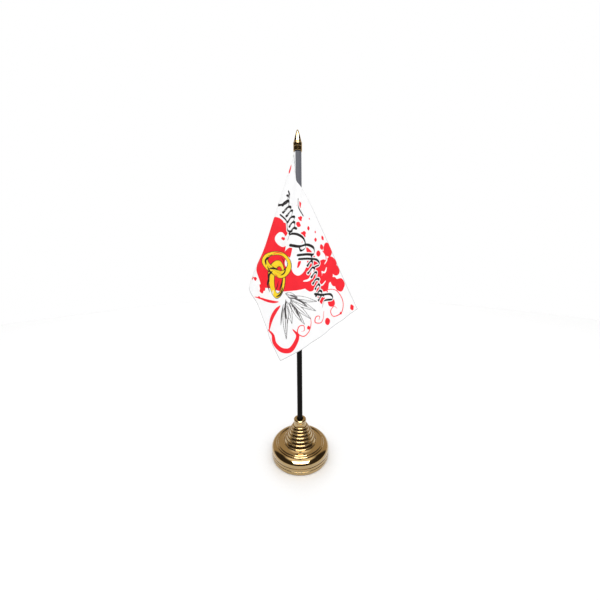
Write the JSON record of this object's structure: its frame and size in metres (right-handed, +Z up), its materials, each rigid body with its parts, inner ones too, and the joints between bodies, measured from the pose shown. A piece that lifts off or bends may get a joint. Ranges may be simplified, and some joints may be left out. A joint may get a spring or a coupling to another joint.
{
  "type": "desk flag stand",
  "caption": "Small cloth flag hanging from its sleeve on a thin upright pole with a spear finial, held in a round stepped base.",
  "frame": {"origin": "on the pole's axis, at the centre of the underside, on the table", "axes": "+Z up along the pole; -Y towards the viewer of the flag's printed side; +X to that viewer's right"},
  "size_m": [0.1062, 0.0602, 0.2935],
  "materials": {
    "gold_plastic": "metallised, mirror bright",
    "ballast": "as cast",
    "foam": "matt",
    "black_plastic": "satin",
    "cloth": "printed polyester satin",
    "thread": "spun polyester"
  },
  "bodies": {
    "base": {"base_shell": "gold_plastic", "base_plate": "gold_plastic", "ballast_disc": "ballast", "foot_pad": "foam"},
    "pole": {"pole": "black_plastic"},
    "flag": {"flag": "cloth", "sleeve_seam": "thread"},
    "finial": {"finial": "gold_plastic"}
  },
  "joints": [
    {"name": "pole_lift", "type": "slide", "parent": "base", "child": "pole", "axis": [0, 0, 1], "range_m": [0, 0.03]},
    {"name": "flag_swivel", "type": "hinge", "parent": "pole", "child": "flag", "pos_m": [0, 0, 0.226], "axis": [0, 0, 1], "continuous": true},
    {"name": "finial_pull", "type": "slide", "parent": "pole", "child": "finial", "axis": [0, 0, 1], "range_m": [0, 0.015]}
  ]
}
